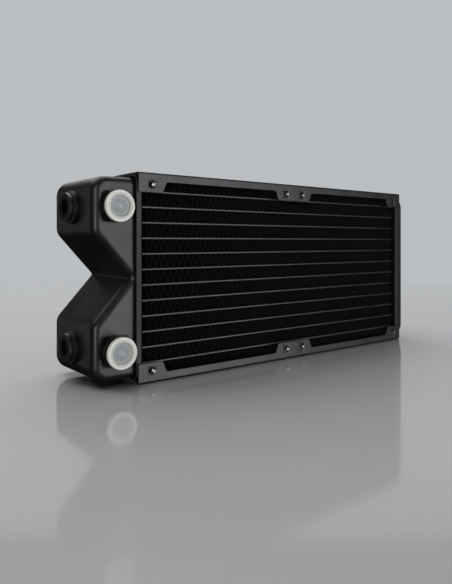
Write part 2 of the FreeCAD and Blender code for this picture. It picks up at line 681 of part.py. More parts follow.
check_document()
os.makedirs("parts", exist_ok=True)
for sub_part in SUB_PARTS:
    sub_part.Shape.exportStep(f"parts/{sub_part.Label}.step")
    solids = len(sub_part.Shape.Solids)
    print(f"{sub_part.Label}: {solids} solid(s), {sub_part.Shape.Volume:.1f} mm3")
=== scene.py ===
import math

import bmesh
import bpy
from bmesh.types import BMEdge, BMFace, BMVert
from mathutils import Matrix, Vector


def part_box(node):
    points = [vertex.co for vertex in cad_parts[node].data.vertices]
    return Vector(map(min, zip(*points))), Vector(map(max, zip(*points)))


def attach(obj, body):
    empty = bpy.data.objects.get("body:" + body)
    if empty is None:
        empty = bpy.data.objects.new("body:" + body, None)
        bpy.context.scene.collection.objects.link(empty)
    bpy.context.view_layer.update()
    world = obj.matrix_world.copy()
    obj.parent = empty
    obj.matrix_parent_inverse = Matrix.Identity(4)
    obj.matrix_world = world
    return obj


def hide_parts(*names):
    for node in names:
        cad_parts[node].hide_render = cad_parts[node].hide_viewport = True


bl_info = {
    "name": "Liquid cooling radiator",
    "version": (1, 0, 0),
    "blender": (4, 5, 0),
    "location": "3D View > Sidebar > Radiator",
    "description": "Builds the shown pieces, finishes and studio of a liquid cooling radiator",
    "category": "Object",
}

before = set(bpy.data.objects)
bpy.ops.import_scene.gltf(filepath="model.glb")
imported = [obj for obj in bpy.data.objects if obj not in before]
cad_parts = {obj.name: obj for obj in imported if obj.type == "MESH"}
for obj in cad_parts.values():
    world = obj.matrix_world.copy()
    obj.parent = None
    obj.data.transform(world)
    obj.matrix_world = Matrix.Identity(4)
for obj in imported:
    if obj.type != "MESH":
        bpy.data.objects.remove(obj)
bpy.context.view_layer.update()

MM = 0.001
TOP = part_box("top_rail")[1].z
MIDDLE = TOP / 2
FRONT_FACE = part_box("top_rail")[0].y          # outer face of the front flanges
RAIL_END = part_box("top_rail")[1].x
TAB_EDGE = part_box("bottom_rail")[1].z         # free edge of a tab above the web
TANK_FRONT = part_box("port_tank")[0].y
TANK_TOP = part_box("port_tank")[1].z
TANK_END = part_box("port_tank")[0].x
TANK_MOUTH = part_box("port_tank")[1].x
LEVELS = ("upper", "lower")
FLAT = 1000                                   # leaves one axis out of a distance
NEAR = 1e-7                                   # points this close share a plane, in metres
FLUSH = 0.999                                 # a normal's part along an axis it lies on
MERGE = 0.0005 * MM                           # vertices this close are merged
CAMERA_PLACE = (-0.27703, -0.30589, 0.07931)
CAMERA_TURN = -38.243                         # degrees round Z from a look along +Y
CAMERA_LENS = 34.872
CAMERA_SHIFT = -0.0858


def length(label, about, millimetres):
    """A size in the sidebar, kept in metres."""
    return bpy.props.FloatProperty(name=label, description=about, default=millimetres * MM,
                                   min=0, unit="LENGTH", precision=5)


def colour(label, about, *value):
    """A colour in the sidebar."""
    return bpy.props.FloatVectorProperty(name=label, description=about, default=value,
                                         subtype="COLOR", size=3, min=0, max=1)


def share(label, about, value):
    """A number from 0 to 1 in the sidebar."""
    return bpy.props.FloatProperty(name=label, description=about, default=value,
                                   min=0, max=1, subtype="FACTOR")


def brightness(label, about, value):
    """A lamp's radiance in the sidebar."""
    return bpy.props.FloatProperty(name=label, description=about, default=value, min=0)


# Sizes and colours ---------------------------------------------------------------------

class SheetSizes(bpy.types.PropertyGroup):
    """Folded and formed sheet: rails, trays and tanks."""
    rail_sheet: length("Rail sheet", "Thickness of the rails' steel", 1.0)
    fold: length("Fold", "Outside radius of the rails' fold", 1.3)
    band: length("Band", "Height of a rail's flange between its tabs", 5.0)
    tab_slant: length("Tab slant", "How much wider a tab is at its root", 2.6)
    tab_corner: length("Tab corner", "Rounding of a tab's free corners", 1.5)
    window_corner: length("Window corner", "Rounding where a tab meets the band", 2.0)
    middle_tab: length("Middle tab", "Half width of the middle tab at its free edge", 14.6)
    outer_tab: length("Outer tab", "Start of the outer tab's free edge", 105.4)
    sheet_edge: length("Sheet edge", "Softening of the cut edges", 0.14)
    tray_sheet: length("Tray sheet", "Thickness of the trays", 1.5)
    tray_bend: length("Tray bend", "Outside radius of the trays' bend", 1.8)
    tray_corner: length("Tray corner", "Rounding of the trays' corners", 4.5)
    tank_wall: length("Tank wall", "Thickness of the tanks", 1.0)
    tank_edge: length("Tank edge", "Rounding round the tanks' front and back", 4.5)
    tank_corner: length("Tank corner", "Rounding of the port tank's end corners", 9.0)
    shoulder: length("Shoulder", "Half the mouth of the notch", 25.2)
    shoulder_corner: length("Shoulder corner", "Rounding of the notch's shoulders", 8.0)
    notch_floor: length("Notch floor", "Tray to the bottom of the notch", 5.1)
    return_corner: length("Return corner", "Rounding of the return tank's corners", 8.0)


class CoreSizes(bpy.types.PropertyGroup):
    """Fins between the tubes."""
    wave: length("Fin wave", "Nominal length of one fold of the fins", 4.2)
    fin_sheet: length("Fin sheet", "Thickness of the fins", 0.15)
    crest: length("Fin crest", "Flat of a fin's crest", 0.8)
    crest_bend: length("Crest bend", "Rounding of the folds", 0.3)


class PortSizes(bpy.types.PropertyGroup):
    """Screw holes, ports and plugs."""
    screw_row: length("Screw row", "Screws above the rail's web", 6.725)
    fan_pitch: length("Fan pitch", "Screw spacing of one fan", 105.0)
    fan_gap: length("Fan gap", "Between the two fans' nearest screws", 15.0)
    nut_seat: length("Nut seat", "Radius of a nut's spigot", 2.6)
    nut_body: length("Nut body", "Radius of a nut behind the sheet", 3.3)
    nut_height: length("Nut height", "Nut behind the sheet", 2.4)
    nut_bore: length("Nut bore", "Radius of the thread's crests", 1.65)
    nut_sink: length("Nut sink", "Radius of the countersink", 2.3)
    nut_pitch: length("Nut pitch", "Pitch of the nuts' thread", 0.7)
    port_height: length("Port height", "Ports above and below mid-height", 39.5)
    port_inset: length("Port inset", "Front ports from the tank's end", 13.5)
    port_bore: length("Port bore", "Radius of the ports' thread at its root", 6.58)
    thread_depth: length("Thread depth", "Depth of the ports' thread", 0.75)
    thread_pitch: length("Thread pitch", "Pitch of the ports' thread", 1.337)
    seat: length("Seat", "Radius of a collar's spigot in the wall", 8.0)
    front_collar: length("Front collar", "Outside radius of a front collar", 8.8)
    end_collar: length("End collar", "Outside radius of an end collar", 9.4)
    collar_depth: length("Collar depth", "Collar below the tank's surface", 9.0)
    front_stand: length("Front stand", "Front collars above the surface", 3.8)
    end_stand: length("End stand", "End collars above the surface", 1.2)
    ring: length("Ring", "Outside radius of a sealing ring", 9.1)
    ring_height: length("Ring height", "Thickness of a sealing ring", 1.1)
    head: length("Head", "Radius of a stop plug's head", 8.25)
    head_height: length("Head height", "Height of a stop plug's head", 2.5)
    flats: length("Flats", "Across the flats of the hexagon socket", 8.0)
    socket: length("Socket", "Depth of the hexagon socket", 5.0)
    cap: length("Cap", "Radius of a dust plug's rim", 8.65)
    cap_rim: length("Cap rim", "Thickness of a dust plug's rim", 2.6)
    cap_shank: length("Cap shank", "Length of a dust plug's shank", 9.0)
    dish: length("Dish", "Radius of the dish's floor", 5.2)
    dish_depth: length("Dish depth", "Depth of the dish in a dust plug's face", 1.1)


class FinishSettings(bpy.types.PropertyGroup):
    """Colours of the finishes."""
    paint: colour("Paint", "Black powder coat of the rails and tanks", 0.006, 0.0063, 0.0066)
    paint_roughness: share("Paint roughness", "Roughness of the powder coat", 0.36)
    fin_paint: colour("Fin paint", "Thin matt black of the fins", 0.010, 0.010, 0.0104)
    plug: colour("Plug", "Black plated stop plugs", 0.010, 0.010, 0.0105)
    rubber: colour("Rubber", "Sealing rings", 0.012, 0.012, 0.012)
    nut: colour("Nut", "Bright steel of the nuts' threads", 0.34, 0.345, 0.35)
    brass: colour("Brass", "Bare brass inside the tank", 0.70, 0.52, 0.26)
    cap: colour("Cap", "Milky plastic of the dust plugs", 0.76, 0.745, 0.70)
    # Painted shade: the dish's dark colour stands for the dark port seen through the thin
    # plastic.
    cap_web_painted_shade: colour("Cap web", "Thin plastic with the dark port behind it", 0.22, 0.245, 0.26)


class StudioSettings(bpy.types.PropertyGroup):
    """Floor, backdrop and lights."""
    floor: colour("Floor", "Pale floor", 0.62, 0.63, 0.64)
    backdrop: colour("Backdrop", "Pale backdrop", 0.50, 0.515, 0.53)
    surround: share("Surround", "Dim light from everywhere", 0.012)
    key: brightness("Key", "Front softbox", 3.0)
    overhead: brightness("Overhead", "Overhead softbox", 1.7)
    fill: brightness("Fill", "Softbox behind the port tank's left side", 0.24)
    strip: brightness("Strip", "Narrow light on the port tank's edge", 9.0)
    wash: brightness("Wash", "Wide light that only the floor gets", 0.36)
    rear: brightness("Rear", "Two softboxes behind and above", 1.0)


# Drawing helpers -----------------------------------------------------------------------

def only(geometry, kind):
    """The vertices, edges or faces among some geometry."""
    return [item for item in geometry if isinstance(item, kind)]


def lies_at(item, axis, value):
    """Whether a face or an edge lies where one coordinate has a value."""
    return all(abs(getattr(v.co, axis) - value) < NEAR for v in item.verts)


def largest(faces):
    """The face with the greatest area."""
    return max(faces, key=lambda face: face.calc_area())


def holds(face, point):
    """Whether a face's box in the XZ plane holds a point."""
    xs, zs = [v.co.x for v in face.verts], [v.co.z for v in face.verts]
    return min(xs) < point.x < max(xs) and min(zs) < point.z < max(zs)


def draw(bm, corners, closed=True, steps=6):
    """Draws an outline in the XZ plane and returns its edges.

    A corner is (x, z) or (x, z, radius); a rounded one is a vertex spun round its centre.
    """
    ends, before = [], set(bm.edges)
    points = [Vector((c[0], 0, c[1])) for c in corners]
    for index, corner in enumerate(corners):
        point = points[index]
        radius = corner[2] if len(corner) > 2 else 0
        if not radius:
            vertex = bm.verts.new(point)
            ends.append((vertex, vertex))
            continue
        come = (point - points[index - 1]).normalized()
        leave = (points[(index + 1) % len(points)] - point).normalized()
        turn = math.atan2(come.x * leave.z - come.z * leave.x, come.dot(leave))
        first = bm.verts.new(point - come * radius * math.tan(abs(turn) / 2))
        inward = Vector((-come.z, 0, come.x)) * math.copysign(radius, turn)
        spun = bmesh.ops.spin(bm, geom=[first], cent=first.co + inward, axis=(0, -1, 0),
                              dvec=(0, 0, 0), angle=turn, steps=steps)
        last = only(spun["geom_last"], BMVert)[0]
        ends.append((first, last))
    following = ends[1:] + ends[:1] if closed else ends[1:]
    for (_, last), (first, _) in zip(ends, following):
        bm.edges.new((last, first))
    return [edge for edge in bm.edges if edge not in before]


def fill(bm, edges):
    """A flat face inside a closed outline."""
    return bmesh.ops.edgeloop_fill(bm, edges=edges)["faces"][0]


def pull(bm, geometry, move):
    """Extrudes faces or edges and moves the new end. Returns the new geometry."""
    if isinstance(geometry[0], BMFace):
        made = bmesh.ops.extrude_face_region(bm, geom=geometry)["geom"]
    else:
        made = bmesh.ops.extrude_edge_only(bm, edges=geometry)["geom"]
    bmesh.ops.translate(bm, verts=only(made, BMVert), vec=move)
    return made


def shift(bm, move, verts=None):
    """Moves some vertices, or all."""
    bmesh.ops.translate(bm, verts=verts or bm.verts[:], vec=move)


def tilt(bm, degrees, axis, centre=(0, 0, 0), verts=None):
    """Turns some vertices, or all, round an axis through a centre."""
    matrix = Matrix.Rotation(math.radians(degrees), 3, axis)
    bmesh.ops.rotate(bm, verts=verts or bm.verts[:], cent=centre, matrix=matrix)


def face_out(bm):
    """Merges doubles and turns the faces outwards."""
    bmesh.ops.remove_doubles(bm, verts=bm.verts[:], dist=MERGE)
    bmesh.ops.recalc_face_normals(bm, faces=bm.faces[:])


def turn_round(bm, steps):
    """Spins a half profile, drawn as radius and height, round the Z axis."""
    bmesh.ops.spin(bm, geom=bm.verts[:] + bm.edges[:], cent=(0, 0, 0), axis=(0, 0, 1),
                   dvec=(0, 0, 0), angle=math.tau, steps=steps, use_merge=True)
    face_out(bm)


def round_off(bm, edges, radius, steps):
    """Rounds edges."""
    bmesh.ops.bevel(bm, geom=edges, offset=radius, segments=steps, profile=0.5,
                    affect="EDGES", material=-1)


def ring_edges(bm, centre, radius, axis):
    """The edges of a circle whose axis is X or Y."""
    verts = bmesh.ops.create_circle(bm, cap_ends=False, radius=radius, segments=48)["verts"]
    tilt(bm, 90, "Y" if axis == "X" else "X", verts=verts)
    shift(bm, centre, verts)
    return list({edge for vertex in verts for edge in vertex.link_edges})


def punch(bm, face, centre, radius, margin, axis):
    """Opens a round hole in a flat face: cuts a square cell and fills it round a circle."""
    centre = Vector(centre)
    across = (Vector((0, 1, 0)) if axis == "X" else Vector((1, 0, 0)), Vector((0, 0, 1)))
    half = radius + margin
    geometry = [face, *face.edges, *face.verts]
    for direction in across:
        for side in (-half, half):
            geometry = bmesh.ops.bisect_plane(
                bm, geom=geometry, dist=NEAR, plane_co=centre + direction * side,
                plane_no=direction)["geom"]
    pieces = only(geometry, BMFace)
    cell = next(f for f in pieces if all(
        abs((v.co - centre).dot(d)) < half + 10 * NEAR for v in f.verts for d in across))
    rim = list(cell.edges)
    bmesh.ops.delete(bm, geom=[cell], context="FACES_ONLY")
    rim += ring_edges(bm, centre, radius, axis)
    bmesh.ops.triangle_fill(bm, use_beauty=True, edges=rim)
    return [f for f in pieces if f.is_valid]


def groove(radius, depth, low, high, pitch, phase):
    """Corners of a thread's flanks from low to high; depth is negative in a bore.

    The ridges are rings at the thread's pitch, not a helix.
    """
    corners, turn = [], math.ceil((low - phase) / pitch)
    while phase + (turn + 1) * pitch < high:
        crest = phase + turn * pitch
        corners += [(radius, crest + 0.06 * pitch), (radius - depth, crest + 0.44 * pitch),
                    (radius - depth, crest + 0.56 * pitch), (radius, crest + 0.94 * pitch)]
        turn += 1
    return corners


def show(bm, name, slot, body="root", nodes=(), finish=None, wall=None, edge=None, sharp=32):
    """Makes a finished piece of a mesh, hides the CAD nodes it takes the place of, and sets it
    on the body it rides on.
    """
    mesh = bpy.data.meshes.new(name)
    bm.normal_update()
    bm.to_mesh(mesh)
    bm.free()
    mesh.shade_smooth()
    mesh.set_sharp_from_angle(angle=math.radians(sharp))
    piece = bpy.data.objects.new(name, mesh)
    bpy.context.scene.collection.objects.link(piece)
    for item in finish or [slot]:
        mesh.materials.append(bpy.data.materials[item])
    if wall:
        solid = piece.modifiers.new("Wall", "SOLIDIFY")
        solid.thickness, solid.offset = wall
        solid.use_even_offset = True
        solid.use_quality_normals = True
    if edge:
        bevel = piece.modifiers.new("Edges", "BEVEL")
        bevel.width, bevel.segments = edge
        bevel.limit_method, bevel.angle_limit = "ANGLE", math.radians(50)
        bevel.miter_outer = "MITER_ARC"
        bevel.use_clamp_overlap = True
    shade = piece.modifiers.new("Shading", "WEIGHTED_NORMAL")
    shade.keep_sharp, shade.weight = True, 90
    if nodes:
        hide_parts(*nodes)
    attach(piece, body)
    return piece


def merge(bm, other):
    """Adds another mesh to bm."""
    spare = bpy.data.meshes.new("spare")
    other.to_mesh(spare)
    other.free()
    bm.from_mesh(spare)
    bpy.data.meshes.remove(spare)


def nodes_named(start):
    """Names of the CAD nodes that begin alike, in order."""
    return sorted(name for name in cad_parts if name.startswith(start))


def settings(name):
    """One of the groups of sizes and colours."""
    return getattr(bpy.context.scene, f"radiator_{name}")


def port_level(level):
    """Height of the upper or lower ports."""
    height = settings("ports").port_height
    return MIDDLE + (height if level == "upper" else -height)


# Finishes ------------------------------------------------------------------------------

class Recipe:
    """A node material with its Object coordinates at hand."""

    def __init__(self, name, base, roughness, metallic=0.0, specular=0.5):
        self.material = bpy.data.materials.get(name) or bpy.data.materials.new(name)
        self.material.use_nodes = True
        self.tree = self.material.node_tree
        self.tree.nodes.clear()
        output = self.tree.nodes.new("ShaderNodeOutputMaterial")
        self.shader = self.tree.nodes.new("ShaderNodeBsdfPrincipled")
        self.join(self.shader.outputs[0], output.inputs["Surface"])
        self.place = self.tree.nodes.new("ShaderNodeTexCoord").outputs["Object"]
        self.base = base
        self.set("Base Color", (*base, 1))
        self.set("Roughness", roughness)
        self.set("Metallic", metallic)
        self.set("Specular IOR Level", specular)

    def join(self, output, socket):
        """Links two sockets."""
        self.tree.links.new(output, socket)

    def set(self, socket, value):
        """Gives the shader's own socket a value."""
        self.shader.inputs[socket].default_value = value

    def noise(self, size, detail=3.0, roughness=0.5, stretch=None):
        """Cloudy pattern with features of about the given size."""
        node = self.tree.nodes.new("ShaderNodeTexNoise")
        node.inputs["Scale"].default_value = 1 / size
        node.inputs["Detail"].default_value = detail
        node.inputs["Roughness"].default_value = roughness
        place = self.place
        if stretch:
            mapping = self.tree.nodes.new("ShaderNodeMapping")
            mapping.inputs["Scale"].default_value = stretch
            self.join(place, mapping.inputs["Vector"])
            place = mapping.outputs["Vector"]
        self.join(place, node.inputs["Vector"])
        return node.outputs[0]

    def ramp(self, value, low, high, start, end):
        """Spreads a pattern from start-end to low-high."""
        node = self.tree.nodes.new("ShaderNodeMapRange")
        for socket, number in (("From Min", start), ("From Max", end), ("To Min", low),
                               ("To Max", high)):
            node.inputs[socket].default_value = number
        self.join(value, node.inputs["Value"])
        return node.outputs["Result"]

    def blend(self, factor, first, second, target="Base Color"):
        """Mixes two colours, or the outputs of two patterns, by a factor."""
        node = self.tree.nodes.new("ShaderNodeMix")
        node.data_type = "RGBA"
        colours = [s for s in node.inputs if s.type == "RGBA"]
        for socket, value in zip(colours, (first, second)):
            if isinstance(value, bpy.types.NodeSocket):
                self.join(value, socket)
            else:
                socket.default_value = (*value, 1)
        self.join(factor, node.inputs[0])
        result = next(s for s in node.outputs if s.type == "RGBA")
        if target:
            self.join(result, self.shader.inputs[target])
        return result

    def reach(self, centre, scale=(1, 1, 1), turn=0.0):
        """Distance from a point, in a scaled space turned round Y by some degrees."""
        moved = self.tree.nodes.new("ShaderNodeVectorMath")
        moved.operation = "SUBTRACT"
        moved.inputs[1].default_value = centre
        self.join(self.place, moved.inputs[0])
        mapping = self.tree.nodes.new("ShaderNodeMapping")
        mapping.vector_type = "TEXTURE"
        mapping.inputs["Rotation"].default_value = (0, math.radians(turn), 0)
        mapping.inputs["Scale"].default_value = scale
        self.join(moved.outputs[0], mapping.inputs["Vector"])
        node = self.tree.nodes.new("ShaderNodeVectorMath")
        node.operation = "LENGTH"
        self.join(mapping.outputs["Vector"], node.inputs[0])
        return node.outputs["Value"]

    def relief(self, height, depth, strength=1.0, under=None):
        """Bumps the surface by a pattern, on top of another relief where one is given."""
        node = self.tree.nodes.new("ShaderNodeBump")
        node.inputs["Strength"].default_value = strength
        node.inputs["Distance"].default_value = depth
        self.join(height, node.inputs["Height"])
        if under:
            self.join(under, node.inputs["Normal"])
        self.join(node.outputs["Normal"], self.shader.inputs["Normal"])
        return node.outputs["Normal"]


def powder_coat(name, base, roughness, grain=0.55 * MM, depth=0.011 * MM, specular=0.5):
    """Baked powder paint: a fine orange peel, with faint clouds of gloss and shade."""
    coat = Recipe(name, base, roughness, specular=specular)
    clouds = coat.noise(16 * MM, 2)
    coat.join(coat.ramp(clouds, roughness - 0.035, roughness + 0.045, 0.35, 0.65),
              coat.shader.inputs["Roughness"])
    specks = coat.noise(0.9 * MM, 4, 0.65)
    coat.blend(coat.ramp(specks, 0, 1, 0.3, 0.75), [c * 0.75 for c in base],
               [min(1, c * 1.4) for c in base])
    waves = coat.relief(coat.noise(3.2 * MM, 1), 0.02 * MM, 0.5)
    coat.relief(coat.noise(grain, 2, 0.6), depth, 1.0, waves)
    return coat


def make_finishes():
    """Makes every material that the pieces ask for by name."""
    look = settings("finish")
    powder_coat("rail_paint", look.paint, look.paint_roughness)
    powder_coat("tank_paint", look.paint, look.paint_roughness + 0.02)
    powder_coat("tray_paint", look.paint, look.paint_roughness + 0.04, specular=0.3)
    powder_coat("core_paint", look.paint, 0.5)
    powder_coat("tube_paint", look.paint, 0.34, specular=0.6)
    powder_coat("collar_paint", [c * 0.7 for c in look.paint], 0.34, specular=0.4)
    fins = powder_coat("fin_paint", look.fin_paint, 0.82, 0.9 * MM, 0.02 * MM, 0.15)
    slits = fins.tree.nodes.new("ShaderNodeTexWave")
    slits.wave_type, slits.bands_direction = "BANDS", "Y"
    louvre = 1.4 * MM
    slits.inputs["Scale"].default_value = 1 / louvre / math.tau
    fins.join(fins.place, slits.inputs["Vector"])
    fins.relief(slits.outputs["Fac"], 0.12 * MM, 0.6)

    # The heads are dull in the middle and brighter round the rim.
    for level in LEVELS:
        plug = powder_coat(f"plug_black_{level}", look.plug, 0.36, 0.35 * MM, 0.004 * MM)
        low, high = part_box(f"{level}_stop_plug")
        radius = plug.reach((low + high) / 2, (FLAT, 1, 1))
        plug.blend(plug.ramp(radius, 0, 1, 7.2 * MM, 7.9 * MM), [c * 0.5 for c in look.plug],
                   look.plug)
        plug.join(plug.ramp(radius, 0.08, 0.7, 7.4 * MM, 7.9 * MM),
                  plug.shader.inputs["Specular IOR Level"])
    rubber = powder_coat("seal_rubber", look.rubber, 0.55, 0.3 * MM, 0.01 * MM, 0.4)
    rubber.set("Sheen Weight", 0.05)

    steel = Recipe("nut_steel", look.nut, 0.28, metallic=1.0)
    steel.join(steel.ramp(steel.noise(0.5 * MM, 3), 0.2, 0.42, 0.3, 0.7),
               steel.shader.inputs["Roughness"])
    steel.blend(steel.ramp(steel.noise(1.1 * MM, 2), 0, 1, 0.3, 0.7),
                [c * 0.8 for c in look.nut], look.nut)
    steel.relief(steel.noise(0.2 * MM, 2), 0.004 * MM)

    brass = Recipe("bare_brass", look.brass, 0.32, metallic=1.0)
    stain = brass.noise(7 * MM, 4, 0.6)
    brass.blend(brass.ramp(stain, 0, 1, 0.35, 0.7), look.brass, [c * 0.6 for c in look.brass])
    brass.join(brass.ramp(stain, 0.25, 0.5, 0.3, 0.7), brass.shader.inputs["Roughness"])
    brass.relief(brass.noise(0.4 * MM, 2, stretch=(0.1, 1, 1)), 0.004 * MM)

    for level in LEVELS:
        milky_plastic(level, look)


def milky_plastic(level, look):
    """Soft translucent polyethylene. Its thin dish is painted dark as painted shade for the
    dark port seen through it, with a painted glint in its middle, and the rim's colour grades
    darker towards the dish.
    """
    low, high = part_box(f"{level}_dust_plug")
    centre = (low + high) / 2
    plastic = Recipe(f"cap_plastic_{level}", look.cap, 0.42, specular=0.4)
    plastic.set("Subsurface Weight", 0.25)
    plastic.set("Subsurface Radius", (1.0, 0.9, 0.75))
    plastic.set("Subsurface Scale", 1.2 * MM)
    radius = plastic.reach(centre, (1, FLAT, 1))
    # Painted glint: a soft bright blob painted into the colour in the middle of the dish.
    painted_glint = plastic.reach(centre, (3.2, FLAT, 1.3), 28)
    # The dish is painted in the dark web colour as painted shade, lightened in its middle by
    # the painted glint.
    web = plastic.blend(plastic.ramp(painted_glint, 1, 0, 0.1 * MM, 1.1 * MM), look.cap_web_painted_shade,
                        [min(1, c * 1.7) for c in look.cap_web_painted_shade], None)
    # The rim's colour grades darker towards the dish.
    ring = plastic.blend(plastic.ramp(radius, 0, 1, 6.6 * MM, 8.3 * MM),
                         [c * 0.62 for c in look.cap], look.cap, None)
    plastic.blend(plastic.ramp(radius, 0, 1, 3.9 * MM, 6.1 * MM), web, ring)
    plastic.join(plastic.ramp(plastic.noise(1.5 * MM, 3), 0.36, 0.5, 0.3, 0.7),
                 plastic.shader.inputs["Roughness"])
    plastic.relief(plastic.noise(0.5 * MM, 2), 0.012 * MM)


class RADIATOR_OT_finishes(bpy.types.Operator):
    """Make the paints, metals and plastics, and give them to the carried CAD pieces"""
    bl_idname = "radiator.finishes"
    bl_label = "Finishes"

    def execute(self, context):
        make_finishes()
        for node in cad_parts.values():
            for place in node.material_slots:
                finish = bpy.data.materials.get(place.material.name.split(".")[0])
                if finish is None:
                    raise RuntimeError(f"no finish for {node.name}")
                place.material = finish
        return {"FINISHED"}


# Rails and nuts ------------------------------------------------------------------------

class RADIATOR_OT_rails(bpy.types.Operator):
    """Cut, punch and fold the two rails"""
    bl_idname = "radiator.rails"
    bl_label = "Rails"

    def execute(self, context):
        sheet, ports = settings("sheet"), settings("ports")
        bm = bmesh.new()
        fold = sheet.fold
        half = draw(bm, [
            (0, fold), (RAIL_END, fold), (RAIL_END, TAB_EDGE, 0.6 * MM),
            (sheet.outer_tab, TAB_EDGE, sheet.tab_corner),
            (sheet.outer_tab - sheet.tab_slant, sheet.band, sheet.window_corner),
            (sheet.middle_tab + sheet.tab_slant, sheet.band, sheet.window_corner),
            (sheet.middle_tab, TAB_EDGE, sheet.tab_corner), (0, TAB_EDGE)])
        shift(bm, (0, FRONT_FACE, 0))
        flange = fill(bm, half)
        root = [e for e in half if lies_at(e, "z", fold)]
        axis = (0, FRONT_FACE + fold, fold)
        spun = bmesh.ops.spin(bm, geom=root, cent=axis, axis=(1, 0, 0), dvec=(0, 0, 0),
                              angle=math.pi / 2, steps=6)
        pull(bm, only(spun["geom_last"], BMEdge), (0, -(FRONT_FACE + fold), 0))
        pieces = [flange]
        for column in (ports.fan_gap / 2, ports.fan_gap / 2 + ports.fan_pitch):
            centre = Vector((column, FRONT_FACE, ports.screw_row))
            home = next(f for f in pieces if holds(f, centre))
            pieces.remove(home)
            pieces += punch(bm, home, centre, ports.nut_seat, 0.9 * MM, "Y")
        for axis_name in ("X", "Y"):
            bmesh.ops.mirror(bm, geom=bm.verts[:] + bm.edges[:] + bm.faces[:],
                             matrix=Matrix.Identity(4), merge_dist=0.001 * MM,
                             axis=axis_name)
        face_out(bm)
        web = largest(f for f in bm.faces if lies_at(f, "z", 0))
        if web.normal.z > 0:
            bmesh.ops.reverse_faces(bm, faces=bm.faces[:])
        top = bm.copy()
        tilt(top, 180, "X", (0, 0, MIDDLE))
        for mesh, level in ((bm, "bottom"), (top, "top")):
            show(mesh, f"{level}_rail_folded", "rail_paint", nodes=[f"{level}_rail"],
                 wall=(sheet.rail_sheet, -1), edge=(sheet.sheet_edge, 2))
        return {"FINISHED"}


class RADIATOR_OT_nuts(bpy.types.Operator):
    """Turn the press-in nuts behind the flanges"""
    bl_idname = "radiator.nuts"
    bl_label = "Press-in nuts"

    def execute(self, context):
        p, sheet = settings("ports"), settings("sheet").rail_sheet
        back = -sheet - p.nut_height
        sink = p.nut_sink - p.nut_bore
        one = bmesh.new()
        bore = groove(p.nut_bore, -0.38 * MM, back + 0.3 * MM, -sink, p.nut_pitch, 0)
        draw(one, [
            (p.nut_bore + 0.25 * MM, back), (p.nut_body, back, 0.25 * MM),
            (p.nut_body, -sheet, 0.1 * MM), (p.nut_seat, -sheet),
            (p.nut_seat, -0.02 * MM, 0.1 * MM), (p.nut_sink, -0.02 * MM),
            (p.nut_bore, -sink)] + bore[::-1] + [(p.nut_bore, back + 0.25 * MM)], steps=3)
        turn_round(one, 40)
        for face in one.faces:
            middle = face.calc_center_median()
            face.material_index = int(middle.z > -0.1 * MM and middle.xy.length > p.nut_sink)
        outer = p.fan_gap / 2 + p.fan_pitch
        for side, angle, y in (("front", 90, FRONT_FACE), ("back", -90, -FRONT_FACE)):
            bm = bmesh.new()
            for z in (p.screw_row, TOP - p.screw_row):
                for x in (-outer, -p.fan_gap / 2, p.fan_gap / 2, outer):
                    nut = one.copy()
                    tilt(nut, angle, "X")
                    shift(nut, (x, y, z))
                    merge(bm, nut)
            show(bm, f"{side}_nuts_turned", "nut_steel", nodes=[f"{side}_nuts"],
                 finish=["nut_steel", "rail_paint"])
        one.free()
        return {"FINISHED"}


# Core ----------------------------------------------------------------------------------

class RADIATOR_OT_fins(bpy.types.Operator):
    """Fold the fin strips between the tubes"""
    bl_idname = "radiator.fins"
    bl_label = "Fin strips"

    def execute(self, context):
        core = settings("core")
        low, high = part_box("fin_strip_01")
        waves = round((high.x - low.x) / core.wave)
        wave = (high.x - low.x) / waves
        top = (high.z - low.z - core.fin_sheet) / 2
        flat = core.crest / 2
        ribbon = bmesh.new()
        line = draw(ribbon, [
            (0, top), (flat, top, core.crest_bend), (wave / 2 - flat, -top, core.crest_bend),
            (wave / 2 + flat, -top, core.crest_bend), (wave - flat, top, core.crest_bend),
            (wave, top)], closed=False, steps=2)
        pull(ribbon, line, (0, high.y - low.y, 0))
        first = ribbon.verts[:] + ribbon.edges[:] + ribbon.faces[:]
        for number in range(1, waves):
            made = bmesh.ops.duplicate(ribbon, geom=first)["geom"]
            shift(ribbon, (number * wave, 0, 0), only(made, BMVert))
        face_out(ribbon)
        shift(ribbon, (low.x, low.y, 0))
        for name in nodes_named("fin_strip_"):
            bottom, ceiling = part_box(name)
            strip = ribbon.copy()
            shift(strip, (0, 0, (bottom.z + ceiling.z) / 2))
            show(strip, f"{name}_folded", "fin_paint", nodes=[name],
                 wall=(core.fin_sheet, 0), sharp=60)
        ribbon.free()
        return {"FINISHED"}


# Trays and tanks -----------------------------------------------------------------------

def open_slots(bm, face, x, tube_names):
    """Opens a slot for each tube in the tray's flat plate."""
    edges = list(face.edges)
    bmesh.ops.delete(bm, geom=[face], context="FACES_ONLY")
    for name in tube_names:
        low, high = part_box(name)
        nose = (high.z - low.z) / 2
        slot = draw(bm, [(low.y, low.z, nose), (high.y, low.z, nose), (high.y, high.z, nose),
                         (low.y, high.z, nose)], steps=5)
        verts = list({v for e in slot for v in e.verts})
        tilt(bm, 90, "Z", verts=verts)
        shift(bm, (x, 0, 0), verts)
    slots = [v for v in bm.verts if not v.link_faces]
    bmesh.ops.remove_doubles(bm, verts=slots, dist=MERGE)
    edges += [e for e in bm.edges if e.is_wire]
    bmesh.ops.triangle_fill(bm, use_beauty=True, edges=edges)


